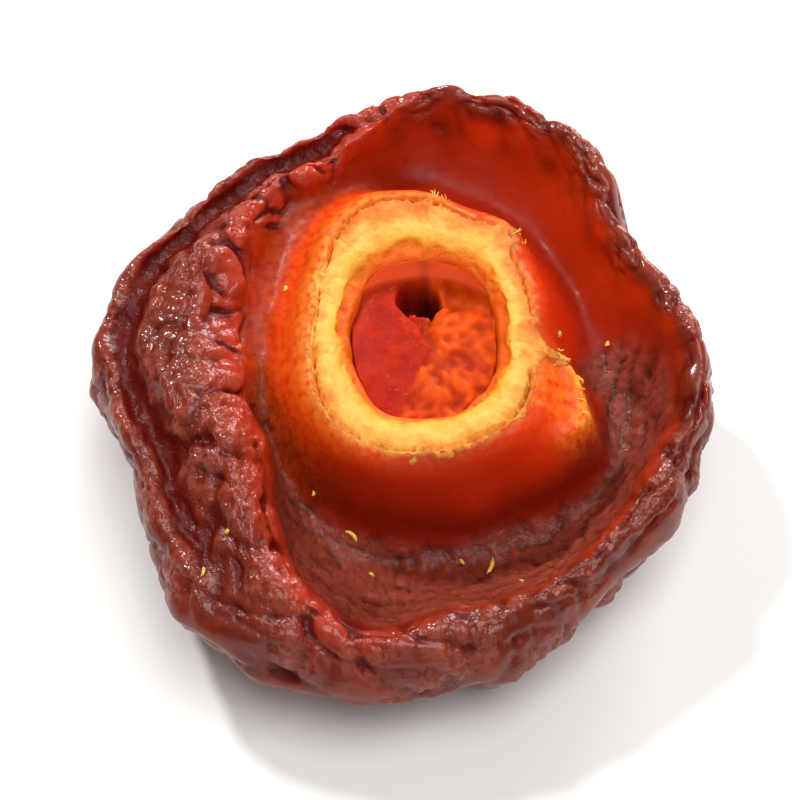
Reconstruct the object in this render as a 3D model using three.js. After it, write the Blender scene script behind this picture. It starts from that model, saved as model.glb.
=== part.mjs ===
// Half of a preserved plum, lying on its skin with the sawn face up.
//
// A plum was sawn through, stone and all, and then candied and dried. The flesh shrank into a
// wrinkled bowl with a mound in the middle, and the mound still grips its half of the stone. The
// stone is a woody cup, cut across, and the shrivelled kernel sits inside it.
//
// Millimetres, +Z up. Directions are degrees in plan, counted from +X towards +Y. The finished group
// is centred on its own plan with the resting spot at z = 0.

import * as THREE from "three";
import { ImprovedNoise } from "three/addons/math/ImprovedNoise.js";

const SAW_HEIGHT = 11.5; // the sawn face of the stone, above the surface that the fruit lies on
const STONE_DEPTH = 8.9; // from the sawn face down to the tip of the half stone
const CHAMBER_DEPTH = 7.0; // from the sawn face down to the floor of the kernel's chamber
const STONE_PLACE = [0, -1.1]; // the stone's axis in plan, from the axis of the flesh's lines
const SEAT_GAP = 0.3; // free space between two pieces that touch
const PILLOW_RISE = 0.22; // height of the folded rim's back for each millimetre of its width
const UNDER_SPOT = -0.05; // a section reaches just below the surface, and is then pressed flat on it

const FLESH_SIDES = 120; // facets round the fruit
const STONE_SIDES = 60;
const KERNEL_SIDES = 32;

// Lines that run round the stone, as [direction, distance from the stone's axis].
const STONE_EDGE = [
  [5, 6.6], [40, 7.5], [57, 8.9], [72, 8.8], [90, 9.6], [110, 9.8], [126, 8.8], [145, 7.3], [166, 6.6],
  [192, 6.7], [216, 7.6], [240, 8.4], [255, 8.6], [272, 8.3], [291, 8.2], [312, 8.1], [330, 7.4], [350, 6.6],
];
const STONE_HOLE = [
  [0, 4.7], [35, 5.1], [60, 5.6], [90, 5.5], [115, 5.6], [140, 4.8], [165, 4.6], [195, 4.4], [225, 4.9],
  [250, 5.6], [275, 5.4], [300, 5.4], [325, 5.1],
];

// Lines that run round the flesh, as [direction, distance, height], from the mound's lip outwards
// over the rim and down the skin. The lip and the foot of the mound are measured from the stone's
// axis. On the left the rim is a broad folded pillow behind a groove, and on the other sides it is
// a thin rolled lip. The lip juts out in a beak at 330 degrees.
const LIP = [
  [0, 8.0, 10.3], [20, 8.2, 10.4], [40, 8.9, 10.4], [57, 10.1, 10.3], [72, 10.1, 10.2], [90, 10.8, 10.2],
  [110, 11.0, 10.3], [126, 10.1, 10.4], [145, 8.7, 10.4], [166, 8.1, 10.3], [192, 8.2, 10.2], [216, 9.0, 10.2],
  [240, 9.7, 10.2], [270, 9.5, 10.3], [295, 9.4, 10.4], [312, 10.1, 10.4], [324, 11.2, 10.1], [334, 11.3, 10.0],
  [346, 9.5, 10.3],
];
const FOOT = [
  [0, 9.2, 6.8], [40, 10.2, 7.3], [72, 11.3, 7.4], [92, 11.9, 7.9], [110, 11.9, 9.4], [126, 11.0, 9.8],
  [150, 9.6, 9.7], [180, 9.1, 9.3], [205, 9.6, 8.3], [225, 10.2, 6.2], [250, 10.5, 4.9], [275, 10.3, 4.7],
  [300, 10.6, 4.8], [318, 11.8, 5.2], [332, 12.2, 5.8], [347, 10.6, 6.6],
];
const VALLEY = [
  [0, 10.6, 5.8], [40, 11.1, 6.2], [72, 12.3, 6.2], [92, 12.8, 6.8], [112, 12.1, 9.2], [130, 11.4, 9.7],
  [155, 10.1, 9.5], [180, 9.7, 9.0], [203, 10.4, 7.4], [225, 11.5, 5.0], [250, 13.2, 3.9], [275, 13.2, 3.7],
  [300, 13.4, 3.9], [325, 13.7, 4.4], [345, 12.4, 5.2],
];
const INNER = [
  [0, 15.1, 9.8], [18, 12.9, 10.2], [36, 13.0, 10.6], [54, 14.7, 10.8], [74, 15.4, 10.8], [92, 15.6, 10.6],
  [106, 13.6, 10.5], [116, 12.3, 10.6], [134, 12.0, 10.8], [154, 11.6, 10.7], [170, 11.2, 10.5], [187, 10.9, 10.4],
  [203, 11.3, 10.4], [219, 12.2, 10.3], [232, 14.2, 10.0], [242, 16.8, 9.4], [251, 19.2, 8.5], [263, 19.6, 8.1],
  [276, 18.4, 8.2], [300, 17.8, 8.3], [322, 16.6, 8.8], [342, 16.2, 9.3],
];
const RIDGE = [
  [0, 15.8, 10.5], [18, 13.4, 10.9], [36, 13.6, 11.3], [54, 15.3, 11.5], [74, 16.0, 11.5], [92, 16.2, 11.3],
  [106, 14.2, 11.2], [116, 13.1, 11.3], [134, 13.4, 11.6], [147, 13.9, 11.6], [160, 14.6, 11.4], [175, 15.7, 11.2],
  [192, 16.0, 11.0], [206, 15.9, 11.0], [220, 17.0, 10.8], [234, 18.9, 10.4], [246, 20.1, 9.8], [260, 20.5, 8.9],
  [278, 19.2, 8.9], [300, 18.4, 9.0], [322, 17.3, 9.5], [342, 16.9, 10.0],
];
const GROOVE = [
  [0, 16.4, 10.7], [18, 13.9, 11.1], [36, 14.1, 11.5], [54, 15.8, 11.7], [74, 16.5, 11.6], [92, 16.7, 11.3],
  [106, 15.1, 10.6], [118, 14.2, 10.3], [134, 14.6, 10.2], [150, 15.6, 10.1], [165, 17.0, 9.9], [180, 17.9, 9.8],
  [196, 17.9, 9.8], [210, 17.6, 9.9], [224, 19.4, 9.8], [238, 21.1, 9.6], [250, 21.3, 9.2], [266, 20.7, 8.9],
  [284, 19.5, 9.0], [304, 18.4, 9.1], [322, 17.8, 9.6], [342, 17.4, 10.1],
];
const RIM = [
  [0, 16.8, 10.5], [10, 15.6, 10.7], [19, 14.6, 10.9], [36, 14.6, 11.3], [46, 15.8, 11.5], [60, 16.5, 11.5],
  [74, 16.9, 11.4], [92, 16.8, 11.2], [108, 15.8, 11.1], [120, 15.2, 11.0], [135, 15.6, 10.9],
  [152, 16.7, 10.7], [165, 18.2, 10.3], [180, 19.3, 9.9], [194, 19.4, 9.8], [208, 19.0, 9.7], [222, 20.6, 9.4],
  [236, 22.5, 9.0], [252, 22.2, 8.4], [268, 21.4, 8.3], [288, 20.1, 8.5], [305, 18.9, 8.8], [322, 18.3, 9.3],
  [342, 17.9, 9.9],
];
const BULGE = [
  [0, 17.4, 7.6], [19, 14.6, 8.0], [36, 14.9, 8.2], [52, 16.6, 8.2], [74, 17.0, 8.0], [92, 17.2, 7.8],
  [120, 15.8, 7.6], [150, 17.3, 7.3], [166, 19.0, 6.9], [185, 20.1, 6.5], [205, 19.5, 6.3], [222, 21.3, 5.9],
  [238, 23.6, 5.4], [254, 23.4, 5.0], [270, 22.7, 5.0], [288, 21.4, 5.2], [305, 19.8, 5.6], [322, 19.0, 6.2],
  [342, 18.5, 7.0],
];
const SHOULDER = [
  [0, 14.6, 2.4], [30, 13.2, 2.9], [60, 14.0, 2.8], [90, 14.2, 2.6], [125, 14.0, 2.3], [160, 16.0, 1.9],
  [195, 17.0, 1.7], [235, 19.4, 1.5], [270, 19.0, 1.5], [305, 17.0, 1.7], [335, 15.8, 2.1],
];
const BASE = [
  [0, 8.4, 0.3], [60, 7.6, 0.4], [120, 8.2, 0.35], [180, 10.2, 0.25], [240, 12.6, 0.2], [280, 12.4, 0.2],
  [320, 10.6, 0.25],
];

// Relief of the flesh. The creases are narrow and the folds between them are full, as on dried skin.
const FOLD_LENGTH = 4.6; // from crease to crease on the skin
const PUCKER_LENGTH = 3.2; // from pucker to pucker along the rolled rim
const FOLD_DEPTH = 2.3;
const CRUMPLE_DEPTH = 1.1;
const PUCKER_DEPTH = 0.95;
const FIT_RADIUS = 18; // where the lengths above are true, measured from the flesh's axis
const FULL_RIM = 7; // a rim this wide carries the whole relief, and a thinner one less

const noise = new ImprovedNoise();

const radians = (degrees) => (degrees * Math.PI) / 180;

const mix = (from, to, share) => from + (to - from) * share;

// Full folds with narrow creases between them, the same at every call.
const folds = (x, y, z) => Math.hypot(noise.noise(x, y, z), 0.1) - 0.3;

// A place on a circle round the fruit, in steps of a length, where noise can be read without a seam.
function placeAround(degrees, length) {
  const steps = FIT_RADIUS / length;
  return [steps * Math.cos(radians(degrees)), steps * Math.sin(radians(degrees))];
}

// A smooth closed line through its points: gives the distance and the height at any direction.
function lineAround(points) {
  const count = points.length;
  const point = (i) => points[((i % count) + count) % count];
  const angle = (i) => point(i)[0] + 360 * Math.floor(i / count);
  const slope = (i, k) => (point(i + 1)[k] - point(i - 1)[k]) / (angle(i + 1) - angle(i - 1));
  return (degrees) => {
    let i = points.findLastIndex((p) => p[0] <= degrees);
    const at = i < 0 ? degrees + 360 : degrees;
    if (i < 0) i = count - 1;
    const span = angle(i + 1) - angle(i);
    const t = (at - angle(i)) / span;
    const rise = t * t * (3 - 2 * t);
    return point(i).slice(1).map((start, n) => {
      const leave = slope(i, n + 1) * span * t * (1 - t) ** 2;
      const arrive = slope(i + 1, n + 1) * span * t * t * (t - 1);
      return mix(start, point(i + 1)[n + 1], rise) + leave + arrive;
    });
  };
}

const stoneEdge = lineAround(STONE_EDGE);
const stoneHole = lineAround(STONE_HOLE);
const fleshLines = [LIP, FOOT, VALLEY, INNER, RIDGE, GROOVE, RIM, BULGE, SHOULDER, BASE].map(lineAround);

// A point on the wall of a cup below the sawn face: share is 0 at its floor and 1 at its brim.
function cup(brim, depth, share) {
  const swing = (share * Math.PI) / 2;
  return [brim * Math.sin(swing) ** 0.75, SAW_HEIGHT - depth * Math.cos(swing)];
}

// The half stone's outside and the wall of its chamber, each grown by the given gap.
const stoneSide = (degrees, share, gap) => cup(stoneEdge(degrees)[0] + gap, STONE_DEPTH + gap, share);
const chamberSide = (degrees, share, gap) => cup(stoneHole(degrees)[0] + gap, CHAMBER_DEPTH + gap, share);

// The flesh in section, from the bottom of the stone's seat over the rim to the resting spot.
// Each entry is [distance, height, rows of facets down to the next entry, depth of relief, hold],
// where hold is 1 for a distance from the stone's axis and 0 for one from the flesh's own axis.
function fleshSection(degrees) {
  const [lip, foot, valley, inner, ridge, groove, rim, bulge, shoulder, base] =
    fleshLines.map((line) => line(degrees));
  const share = THREE.MathUtils.clamp((rim[0] - inner[0]) / FULL_RIM, 0.25, 1);
  const place = placeAround(degrees, PUCKER_LENGTH);
  const swell = PUCKER_DEPTH * noise.noise(...place, 2.6);
  const lift = PUCKER_DEPTH * folds(...place, 8.4);
  for (const line of [inner, ridge, groove, rim]) {
    line[0] += swell;
    line[1] += lift;
  }
  const edge = stoneEdge(degrees)[0] + SEAT_GAP;
  const seat = (share) => stoneSide(degrees, share, SEAT_GAP);
  const slope = [mix(valley[0], inner[0], 0.6), mix(valley[1], inner[1], 0.4)];
  const fullness = PILLOW_RISE * (ridge[0] - inner[0]);
  const pillow = [mix(inner[0], ridge[0], 0.5), mix(inner[1], ridge[1], 0.5) + fullness];
  return [
    [...seat(0), 2, 0],
    [...seat(0.4), 1, 0],
    [...seat(0.75), 1, 0],
    [edge, SAW_HEIGHT - 0.9, 1, 0],
    [mix(edge, lip[0], 0.3), mix(SAW_HEIGHT - 0.5, lip[1], 0.3), 1, 0.05],
    [...lip, 2, 0.1],
    [...foot, 2, 0.2],
    [...valley, 2, 0.3, 0.3],
    [...slope, 3, 0.4, 0],
    [...inner, 3, 0.7 * share, 0],
    [...pillow, 3, 0.9 * share, 0],
    [...ridge, 2, 0.8 * share, 0],
    [...groove, 2, 0.45 * share, 0],
    [...rim, 3, 0.6 * share, 0],
    [...bulge, 5, 0.95, 0],
    [...shoulder, 5, 1.1, 0],
    [...base, 2, 0.7, 0],
    [base[0] * 0.65, UNDER_SPOT, 1, 0, 0],
    [base[0] * 0.3, UNDER_SPOT, 1, 0, 0],
    [0, UNDER_SPOT, 0, 0, 0],
  ];
}

// The half stone in section: its outside, the sawn ring, and the chamber of the kernel.
function stoneSection(degrees) {
  const edge = stoneEdge(degrees)[0];
  const hole = stoneHole(degrees)[0];
  const side = (share) => stoneSide(degrees, share, 0);
  const chamber = (share) => chamberSide(degrees, share, 0);
  return [
    [...chamber(0), 2, 0],
    [...chamber(0.35), 2, 0],
    [...chamber(0.7), 2, 0],
    [hole, SAW_HEIGHT - 0.9, 1, 0.6],
    [mix(hole, edge, 0.25), SAW_HEIGHT - 0.3, 1, 0.5],
    [mix(hole, edge, 0.5), SAW_HEIGHT - 0.05, 1, 0.5],
    [mix(hole, edge, 0.8), SAW_HEIGHT, 1, 0.4],
    [edge, SAW_HEIGHT - 0.25, 1, 0],
    [edge, SAW_HEIGHT - 0.9, 1, 0],
    [...side(0.75), 2, 0],
    [...side(0.4), 2, 0],
    [...side(0), 0, 0],
  ];
}

// Height of the kernel's wrinkled top at a point of the plan: two plump lobes with a cleft between
// them, and a pit at the back where the kernel has shrunk from the wall.
function kernelTop(x, y) {
  const dome = 1 - (x * x + y * y) / 25;
  const cleft = 0.8 * Math.exp(-(((x - 0.4 + 0.15 * y) / 0.8) ** 2));
  const pit = 2 * Math.exp(-(((x + 0.1) / 1.4) ** 2 + ((y - 2.3) / 1.1) ** 2));
  return SAW_HEIGHT - 2.2 + dome - cleft - pit;
}

function kernelSection(degrees) {
  const wall = (share) => chamberSide(degrees, share, -SEAT_GAP);
  const direction = radians(degrees);
  const filled = 0.74 - 0.06 * Math.sin(direction);
  const [brim] = wall(filled);
  const top = (out) => kernelTop(out * Math.cos(direction), out * Math.sin(direction));
  return [
    ...[0, 0.22, 0.42, 0.6, 0.78, 0.93].map((share) => [brim * share, top(brim * share), 1, 0.35]),
    [...wall(filled), 2, 0],
    [...wall(filled / 2), 2, 0],
    [...wall(0), 0, 0],
  ];
}

// Sweeps a section round the axis into a grid of points. Each row of the grid goes once round.
function sweep(section, sides) {
  const columns = [];
  for (let side = 0; side < sides; side++) {
    const degrees = (360 * side) / sides;
    const turn = radians(degrees);
    const marks = section(degrees);
    const places = marks.map(([out, height, , , hold = 1]) => {
      const x = out * Math.cos(turn) + hold * STONE_PLACE[0];
      const y = out * Math.sin(turn) + hold * STONE_PLACE[1];
      return new THREE.Vector3(x, y, height);
    });
    const curve = new THREE.CatmullRomCurve3(places, false, "centripetal");
    const column = [];
    marks.forEach(([, , rows, relief], i) => {
      const next = marks[Math.min(i + 1, marks.length - 1)][3];
      for (let row = 0; row < Math.max(rows, 1); row++) {
        const share = rows ? row / rows : 0;
        const point = curve.getPoint((i + share) / (marks.length - 1));
        column.push({ point, degrees, relief: mix(relief, next, share) });
      }
    });
    columns.push(column);
  }
  return columns;
}

// Moves each point of a grid along the surface's normal by what the relief function gives. The
// normal is taken over two facets each way, so that neighbours never cross.
function raise(columns, reliefAt) {
  const count = columns.length;
  const last = columns[0].length - 1;
  const normals = columns.map((column, i) =>
    column.map((_, j) => {
      if (j === 0 || j === last) return new THREE.Vector3();
      const before = columns[(i + count - 2) % count][j].point;
      const after = columns[(i + 2) % count][j].point;
      const across = after.clone().sub(before);
      const above = column[Math.max(j - 2, 0)].point;
      const below = column[Math.min(j + 2, last)].point;
      return below.clone().sub(above).cross(across).normalize();
    }),
  );
  columns.forEach((column, i) =>
    column.forEach((mark, j) => {
      mark.lift = mark.relief ? reliefAt(mark) * mark.relief : 0;
      mark.normal = normals[i][j];
    }),
  );
  columns.flat().forEach((mark) => mark.point.addScaledVector(mark.normal, mark.lift));
}

// Skins a grid with the faces of a sphere: its first row is one pole and its last row the other.
function skin(columns) {
  const sides = columns.length;
  const rows = columns[0].length - 1;
  const geometry = new THREE.SphereGeometry(1, sides, rows);
  const place = geometry.attributes.position;
  for (let row = 0; row <= rows; row++) {
    for (let side = 0; side <= sides; side++) {
      const { x, y, z } = columns[side % sides][row].point;
      place.setXYZ(row * (sides + 1) + side, x, y, Math.max(z, 0));
    }
  }
  geometry.computeVertexNormals();
  return geometry;
}

// Below, the folds lie side by side across the fruit. Towards the rim they turn to run along it.
function fleshRelief({ point, degrees }) {
  const { x, y, z } = point.clone().divideScalar(FOLD_LENGTH);
  const down = Math.hypot(x, y) - z;
  const towardsRim = THREE.MathUtils.smoothstep(point.z, 2.5, 7);
  const bend = 0.9 * noise.noise(x * 0.6 + 7.3, y * 0.6, z * 0.6);
  const across = folds(x * 1.2 + bend, y * 0.6 - bend, z * 1.2 + 3.1);
  const along = folds(...placeAround(degrees, 1.7 * FOLD_LENGTH), down * 1.2 + bend);
  const crumple = folds(x * 1.35, y * 1.35, z * 1.35 + bend);
  return FOLD_DEPTH * mix(across, along, towardsRim) + CRUMPLE_DEPTH * crumple;
}

function stoneRelief({ point }) {
  return 0.7 * noise.noise(point.x * 0.75, point.y * 0.75, 4.2) - 0.1;
}

function kernelRelief({ point }) {
  return 1.1 * folds(point.x * 0.9, point.y * 0.9, point.z * 0.9);
}

function piece(name, section, sides, relief, finish) {
  const columns = sweep(section, sides);
  raise(columns, relief);
  const mesh = new THREE.Mesh(skin(columns), new THREE.MeshStandardMaterial(finish));
  mesh.name = name;
  return mesh;
}

const candiedFlesh = { color: 0x8a2a17, roughness: 0.36, metalness: 0 };
const wetWood = { color: 0xf0a83e, roughness: 0.55, metalness: 0 };
const candiedKernel = { color: 0xc02c0c, roughness: 0.3, metalness: 0 };

const plum = new THREE.Group();
plum.add(
  piece("plum_flesh", fleshSection, FLESH_SIDES, fleshRelief, candiedFlesh),
  piece("stone_half", stoneSection, STONE_SIDES, stoneRelief, wetWood),
  piece("kernel", kernelSection, KERNEL_SIDES, kernelRelief, candiedKernel),
);

// The origin is under the middle of the fruit's plan, on the surface that it rests on.
const box = new THREE.Box3().setFromObject(plum);
const middle = box.getCenter(new THREE.Vector3());
plum.position.set(-middle.x, -middle.y, 0);

export default plum;
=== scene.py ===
# %% [markdown]
# # Half of a preserved plum
#
# A plum is sawn through, stone and all, then candied in syrup and dried. The skin wrinkles as the
# flesh under it shrinks, the rim curls over, and the stone stays standing in a mound of flesh.
# This lesson dresses a plain solid model of such a half: it wrinkles the flesh, frays the sawn
# stone, crumbles the kernel, and gives each of them a material that light goes into.

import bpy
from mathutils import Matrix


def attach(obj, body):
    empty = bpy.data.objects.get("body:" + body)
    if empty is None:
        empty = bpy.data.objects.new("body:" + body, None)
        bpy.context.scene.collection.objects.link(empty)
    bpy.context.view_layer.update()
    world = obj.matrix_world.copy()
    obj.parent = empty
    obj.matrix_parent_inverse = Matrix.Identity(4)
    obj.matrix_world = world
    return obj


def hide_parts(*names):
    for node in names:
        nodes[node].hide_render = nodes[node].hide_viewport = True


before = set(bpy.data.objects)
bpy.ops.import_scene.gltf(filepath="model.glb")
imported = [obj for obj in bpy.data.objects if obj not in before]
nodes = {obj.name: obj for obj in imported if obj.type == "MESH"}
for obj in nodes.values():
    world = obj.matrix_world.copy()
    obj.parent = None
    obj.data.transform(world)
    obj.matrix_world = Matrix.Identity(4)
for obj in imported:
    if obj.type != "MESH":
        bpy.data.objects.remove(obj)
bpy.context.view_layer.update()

# %% Tools for the lesson
import math

import bmesh
import bpy
import numpy as np
from mathutils import Matrix, Vector, noise
from mathutils.bvhtree import BVHTree

MM = 0.001
print("nodes of the solid model:", sorted(nodes))

# %% [markdown]
# ## Measures shared by every step
#
# The stone's axis is the middle of everything: the fruit was cut at a right angle to it. The tip
# of the stone, which is its lowest point, gives the place of that axis. Lines that run round the
# fruit are kept as a few distances in millimetres, each for a direction in degrees counted from
# the right, against the clock. Between two of them the distance changes evenly.

# %% Axes and lines round the fruit
def for_each_vertex(mesh, source, field):
    """One vector for each vertex of a mesh, as an array."""
    flat = np.empty(len(mesh.vertices) * 3, dtype=np.float32)
    source.foreach_get(field, flat)
    return flat.reshape(-1, 3).astype(float)


def vertices_mm(mesh):
    """The places of a mesh's vertices in millimetres."""
    return for_each_vertex(mesh, mesh.vertices, "co") / MM


stone_points = vertices_mm(nodes["stone_half"].data)
stone_axis = stone_points[stone_points[:, 2].argmin(), :2]
BOWL_BEHIND_STONE = 1.1  # from the stone's axis back to the middle of the bowl
bowl_axis = stone_axis + (0, BOWL_BEHIND_STONE)
SAWN = 11.5  # height of the sawn face

STONE_EDGE = [
    (5, 6.6), (40, 7.5), (57, 8.9), (72, 8.8), (90, 9.6), (110, 9.8), (126, 8.8), (145, 7.3),
    (166, 6.6), (192, 6.7), (216, 7.6), (240, 8.4), (255, 8.6), (272, 8.3), (291, 8.2), (312, 8.1),
    (330, 7.4), (350, 6.6),
]
STONE_HOLE = [
    (0, 4.7), (35, 5.1), (60, 5.6), (90, 5.5), (115, 5.6), (140, 4.8), (165, 4.6), (195, 4.4),
    (225, 4.9), (250, 5.6), (275, 5.4), (300, 5.4), (325, 5.1),
]
MOUND_LIP = [
    (0, 8.0), (20, 8.2), (40, 8.9), (57, 10.1), (72, 10.1), (90, 10.8), (110, 11.0), (126, 10.1),
    (145, 8.7), (166, 8.1), (192, 8.2), (216, 9.0), (240, 9.7), (270, 9.5), (295, 9.4), (312, 10.1),
    (324, 11.2), (334, 11.3), (346, 9.5),
]
MOUND_FOOT = [
    (0, 9.2), (40, 10.2), (72, 11.3), (92, 11.9), (110, 11.9), (126, 11.0), (150, 9.6), (180, 9.1),
    (205, 9.6), (225, 10.2), (250, 10.5), (275, 10.3), (300, 10.6), (318, 11.8), (332, 12.2), (347, 10.6),
]
RIM_INNER = [
    (0, 15.1), (18, 12.9), (36, 13.0), (54, 14.7), (74, 15.4), (92, 15.6), (106, 13.6), (116, 12.3),
    (134, 12.0), (154, 11.6), (170, 11.2), (187, 10.9), (203, 11.3), (219, 12.2), (232, 14.2),
    (242, 16.8), (251, 19.2), (263, 19.6), (276, 18.4), (300, 17.8), (322, 16.6), (342, 16.2),
]
RIM_GROOVE = [
    (106, 15.1), (118, 14.2), (134, 14.6), (150, 15.6), (165, 17.0), (180, 17.9), (196, 17.9),
    (210, 17.6), (224, 19.4), (238, 21.1),
]
print("stone's axis at", stone_axis.round(2), "mm")

# %% Directions, distances and gradual changes
def around(points, axis):
    """Direction in degrees and distance of each point as seen from an axis."""
    x, y = points[:, 0] - axis[0], points[:, 1] - axis[1]
    return np.degrees(np.arctan2(y, x)) % 360, np.hypot(x, y)


def along(line, directions):
    """A line's distance at each direction."""
    turns, distances = zip(*line)
    return np.interp(directions, turns, distances, period=360)


def towards(direction, directions):
    """1 in a direction, 0 at a right angle to it and -1 on the far side."""
    return np.cos(np.radians(directions - direction))


def away_from_stone(points):
    """The level way from the stone's axis to each point, one millimetre long."""
    way = points[:, :2] - stone_axis
    return way / np.hypot(*way.T)[:, None].clip(0.1)


def ramp(start, end, values):
    """0 up to the start, 1 past the end, and a smooth change between them, whichever is higher."""
    share = np.clip((values - start) / (end - start), 0, 1)
    return share * share * (3 - 2 * share)


def bell(values, width, power=2):
    """1 at zero, falling to nothing a few widths away. A higher power gives a flatter top."""
    return np.exp(-((values / width) ** power))


mound_width = along(MOUND_LIP, 0) - along(STONE_EDGE, 0)
print("at the right the mound reaches", mound_width.round(2), "mm past the stone")

# %% [markdown]
# ## Noise that looks like shrunken fruit
#
# Perlin noise crosses zero along winding lines. Its absolute value turns those lines into narrow
# creases with full lumps between them, which is how skin gathers over flesh that has dried. A
# size in millimetres for each axis stretches the lumps into folds.

# %% Noise helpers
NOISE_GAIN = 1.6  # Perlin noise by itself seldom leaves the range from -0.6 to 0.6


def wave(points, size, seed=0.0):
    """Smooth noise, mostly from -1 to 1, that changes over the size. A seed reads it elsewhere."""
    places = points / size + (seed, 0.37 * seed, -0.61 * seed)
    return np.array([noise.noise(place) for place in places.tolist()]) * NOISE_GAIN


def lumps(points, size, seed=0.0, width=0.16):
    """Full lumps with narrow creases between them: 0 in a crease, 1 on a lump."""
    return 1 - np.exp(-np.abs(wave(points, size, seed)) / width)


print("lumps of 2 mm on the stone are", lumps(stone_points, 2).mean().round(2), "full on average")

# %% [markdown]
# ## From facets to flesh
#
# The solid model is faceted. A copy of it is merged, because it arrives as loose triangles, and
# its triangles are paired into quads. A Subdivision Surface modifier rounds those into a dense
# mesh. That mesh is then sculpted by moving its vertices, which gives folds that catch the light
# and change the outline, as a bump in the material can't.

# %% New objects
def mesh_from(bm, name):
    """The mesh that a bmesh has shaped. The bmesh is freed."""
    mesh = bpy.data.meshes.new(name)
    bm.to_mesh(mesh)
    bm.free()
    return mesh


def in_scene(name, data):
    """A new object of the scene, at the origin."""
    made = bpy.data.objects.new(name, data)
    bpy.context.scene.collection.objects.link(made)
    return made


def apply_modifiers(piece):
    """Puts what a piece's modifiers make in the place of its mesh."""
    made = piece.evaluated_get(bpy.context.evaluated_depsgraph_get())
    piece.data = bpy.data.meshes.new_from_object(made)
    piece.data.name = piece.name
    piece.modifiers.clear()


# %% Dense copies and sculpting
def dense_copy(node, name, levels):
    """A smooth, dense piece in the place of a node of the solid model."""
    bm = bmesh.new()
    bm.from_mesh(nodes[node].data)
    bmesh.ops.remove_doubles(bm, verts=bm.verts, dist=0.001 * MM)
    bmesh.ops.join_triangles(
        bm,
        faces=bm.faces,
        angle_face_threshold=math.radians(80),
        angle_shape_threshold=math.radians(130),
    )
    mesh = mesh_from(bm, name)
    if "custom_normal" in mesh.attributes:
        mesh.attributes.remove(mesh.attributes["custom_normal"])
    piece = in_scene(name, mesh)
    rounding = piece.modifiers.new("rounding", "SUBSURF")
    rounding.levels = rounding.render_levels = levels
    apply_modifiers(piece)
    piece.data.materials.clear()
    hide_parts(node)
    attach(piece, "root")
    print(name, "has", len(piece.data.polygons), "faces")
    return piece


def normals_of(mesh):
    """The way straight out of the surface at each vertex."""
    return for_each_vertex(mesh, mesh.vertex_normals, "vector")


def move_to(mesh, points):
    """Puts a mesh's vertices at places given in millimetres, and keeps them on the table."""
    points[:, 2] = np.maximum(points[:, 2], 0)
    mesh.vertices.foreach_set("co", (points * MM).astype(np.float32).ravel())
    mesh.update()


def keep(mesh, name, values):
    """Stores one number for each vertex, which the materials read by its name."""
    attribute = mesh.attributes.new(name, "FLOAT", "POINT")
    attribute.data.foreach_set("value", np.asarray(values, dtype=np.float32))


# %% [markdown]
# ## The flesh
#
# Different parts of the flesh dried in their own ways, so the sculpting starts with a weight from
# 0 to 1 for each of them. The skin covers the outside, the rim and the broad fold on the left. The
# mound is the flesh that hugs the stone. What is left is the smooth wall and the rough valley
# between the mound and the rim. Weight painting could do this by hand, but distances from the
# lines above give soft edges that follow the fruit, and can be changed by changing a line.

# %% Weights of the flesh's parts
flesh = dense_copy("plum_flesh", "plum_flesh_dried", 2)
bare = vertices_mm(flesh.data)

turn, reach = around(bare, bowl_axis)
stone_turn, stone_reach = around(bare, stone_axis)
height = bare[:, 2]

past_edge = stone_reach - along(STONE_EDGE, stone_turn)
past_lip = stone_reach - along(MOUND_LIP, stone_turn)
past_foot = stone_reach - along(MOUND_FOOT, stone_turn)
past_rim = reach - along(RIM_INNER, turn)

soft_edge = 0.5 * wave(bare, 1.8, 3)
underneath = 1 - ramp(0.9, 1.9, height - 0.16 * reach)
skin = np.maximum(ramp(-0.7, 0.7, past_rim + soft_edge), underneath)
upper = 1 - underneath
mound = upper * (1 - ramp(-0.6, 0.9, past_foot + 0.5 * soft_edge))
seat = upper * (1 - ramp(0.2, 0.6, past_edge)) * (1 - ramp(SAWN - 2.2, SAWN - 1.4, height))
forward = stone_axis[1] - bare[:, 1]
low = 1 - ramp(7.5, 10, height)
valley = (1 - skin) * (1 - mound) * low * ramp(-2.5, 0.5, forward + 0.8 * wave(bare, 3, 18))
print("share of the vertices on skin:", skin.mean().round(2), "on the mound:", mound.mean().round(2))

# %% [markdown]
# The inside of the fruit is one flowing surface, and any edge left over from the solid's facets
# would show in its gloss. More subdivision wouldn't remove those edges. A Smooth modifier does, and
# its vertex group keeps it to the inside. A second one works on the mound's foot.

# %% Flowing inside
clear_of_stone = ramp(0.4, 1.6, past_edge)
inside = (1 - skin) * clear_of_stone
at_foot = upper * bell(past_foot, 1.3, 4) * clear_of_stone * (1 - 0.5 * skin)
for name, shares, iterations in (("inside", inside, 60), ("at the mound's foot", at_foot, 40)):
    group = flesh.vertex_groups.new(name=name)
    for index, share in enumerate(shares):
        if share > 0.01:
            group.add([index], share, "REPLACE")
    smoothing = flesh.modifiers.new(name, "SMOOTH")
    smoothing.vertex_group = name
    smoothing.factor = 0.5
    smoothing.iterations = iterations
apply_modifiers(flesh)
flesh.vertex_groups.clear()
angular, bare = bare, vertices_mm(flesh.data)
facing = normals_of(flesh.data)
print("smoothing moved the flesh by up to", np.abs(bare - angular).max().round(2), "mm")

# %% [markdown]
# The wall is thin in places. Its thickness is measured by shooting a ray inwards from each vertex
# to the other side, so that no crease is cut deeper than about a third of it. The rays are shot at
# a tree of the mesh's faces, which finds what a ray hits without trying every face.

# %% Thickness of the flesh
BELOW_SURFACE = 0.05  # a ray starts this far inside, so that it doesn't hit the face it leaves


def ray_tree(mesh):
    """A tree of a mesh's faces in millimetres, for shooting rays at."""
    return BVHTree.FromPolygons(
        vertices_mm(mesh).tolist(), [tuple(face.vertices) for face in mesh.polygons]
    )


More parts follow.
